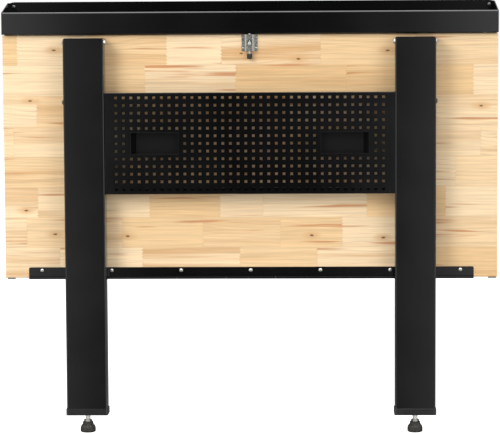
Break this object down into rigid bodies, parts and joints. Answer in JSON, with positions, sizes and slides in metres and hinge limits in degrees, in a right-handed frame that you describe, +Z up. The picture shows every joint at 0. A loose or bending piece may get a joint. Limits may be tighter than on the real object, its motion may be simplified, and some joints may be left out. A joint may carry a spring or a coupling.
{
  "type": "folding workbench",
  "caption": "Wall-mounted workbench shown folded: tool tray above a hinged wooden top, with legs, a perforated panel, hook stays and a spring latch.",
  "frame": {"origin": "centre of the four wall fixing holes, in the wall plane", "axes": "+X along the bench to the viewer's right, +Y into the wall, +Z up"},
  "size_m": [1.207, 0.19, 1.049],
  "materials": {
    "wood": "finger-jointed softwood board, sanded and clear-sealed",
    "frame_paint": "fine black powder coat on bent sheet steel",
    "black_bolt": "blackened steel",
    "zinc": "bright zinc plate",
    "black_plastic": "moulded black plastic, fine texture",
    "foot_plastic": "dark grey moulded plastic"
  },
  "bodies": {
    "wall_frame": {"tray": "frame_paint", "tray_end_left": "frame_paint", "tray_end_right": "frame_paint", "side_post_left": "frame_paint", "side_post_right": "frame_paint", "bottom_rail": "frame_paint", "tray_bolts": "frame_paint", "tray_nuts": "zinc", "rail_bolts": "zinc", "rail_nuts": "zinc", "tray_stop_screws": "zinc", "tray_stop_nuts": "zinc", "hinge_fixed_leaf": "frame_paint", "hinge_pin": "zinc", "hinge_rivets": "zinc"},
    "folding_top": {"worktop": "wood", "hinge_moving_leaf": "frame_paint", "hinge_screws": "zinc", "leg_bracket_left": "frame_paint", "leg_bracket_right": "frame_paint", "bracket_screws": "zinc", "catch_bracket_left": "frame_paint", "catch_bracket_right": "frame_paint", "catch_pins": "zinc", "catch_screws": "zinc", "latch_housing": "zinc", "latch_screws": "zinc"},
    "leg_frame": {"leg_left": "frame_paint", "leg_right": "frame_paint", "pivot_bolts": "zinc", "pivot_nuts": "zinc", "stay_bolts": "black_bolt", "stay_nuts": "zinc", "stay_spacers": "zinc", "tool_panel": "frame_paint", "panel_bolts": "zinc", "panel_nuts": "zinc", "hand_recess_left": "black_plastic", "hand_recess_right": "black_plastic", "leg_cap_left": "black_plastic", "leg_cap_right": "black_plastic", "foot_plate_left": "frame_paint", "foot_plate_right": "frame_paint"},
    "hook_stay_left": {"stay_left": "zinc"},
    "hook_stay_right": {"stay_right": "zinc"},
    "latch_bolt": {"latch_rod": "zinc", "latch_knob": "black_plastic", "latch_collar": "zinc", "latch_spring": "zinc"},
    "foot_left": {"foot_stud_left": "zinc", "foot_nut_left": "zinc", "foot_base_left": "foot_plastic"},
    "foot_right": {"foot_stud_right": "zinc", "foot_nut_right": "zinc", "foot_base_right": "foot_plastic"}
  },
  "joints": [
    {"name": "top_swing", "type": "hinge", "parent": "wall_frame", "child": "folding_top", "pos_m": [0, -0.137, -0.31], "axis": [1, 0, 0], "range_deg": [0, 90]},
    {"name": "leg_swing", "type": "hinge", "parent": "folding_top", "child": "leg_frame", "pos_m": [0, -0.162, 0.263], "axis": [1, 0, 0], "range_deg": [-90, 0]},
    {"name": "stay_left_swing", "type": "hinge", "parent": "leg_frame", "child": "hook_stay_left", "pos_m": [-0.443, -0.17, 0.12], "axis": [1, 0, 0], "range_deg": [0, 135]},
    {"name": "stay_right_swing", "type": "hinge", "parent": "leg_frame", "child": "hook_stay_right", "pos_m": [0.443, -0.17, 0.12], "axis": [1, 0, 0], "range_deg": [0, 135]},
    {"name": "latch_slide", "type": "slide", "parent": "folding_top", "child": "latch_bolt", "axis": [0, 0, 1], "range_m": [0, 0.005], "stiffness_N_per_m": 400, "springref_m": 0.007, "deforming": ["latch_spring"]},
    {"name": "foot_left_height", "type": "slide", "parent": "leg_frame", "child": "foot_left", "axis": [0, 0, 1], "range_m": [-0.012, 0.0075]},
    {"name": "foot_right_height", "type": "slide", "parent": "leg_frame", "child": "foot_right", "axis": [0, 0, 1], "range_m": [-0.012, 0.0075]}
  ],
  "couplings": [
    {"joint": "leg_swing", "follows": "top_swing", "ratio": -1},
    {"joint": "stay_left_swing", "follows": "top_swing", "ratio": 1.5},
    {"joint": "stay_right_swing", "follows": "top_swing", "ratio": 1.5}
  ]
}
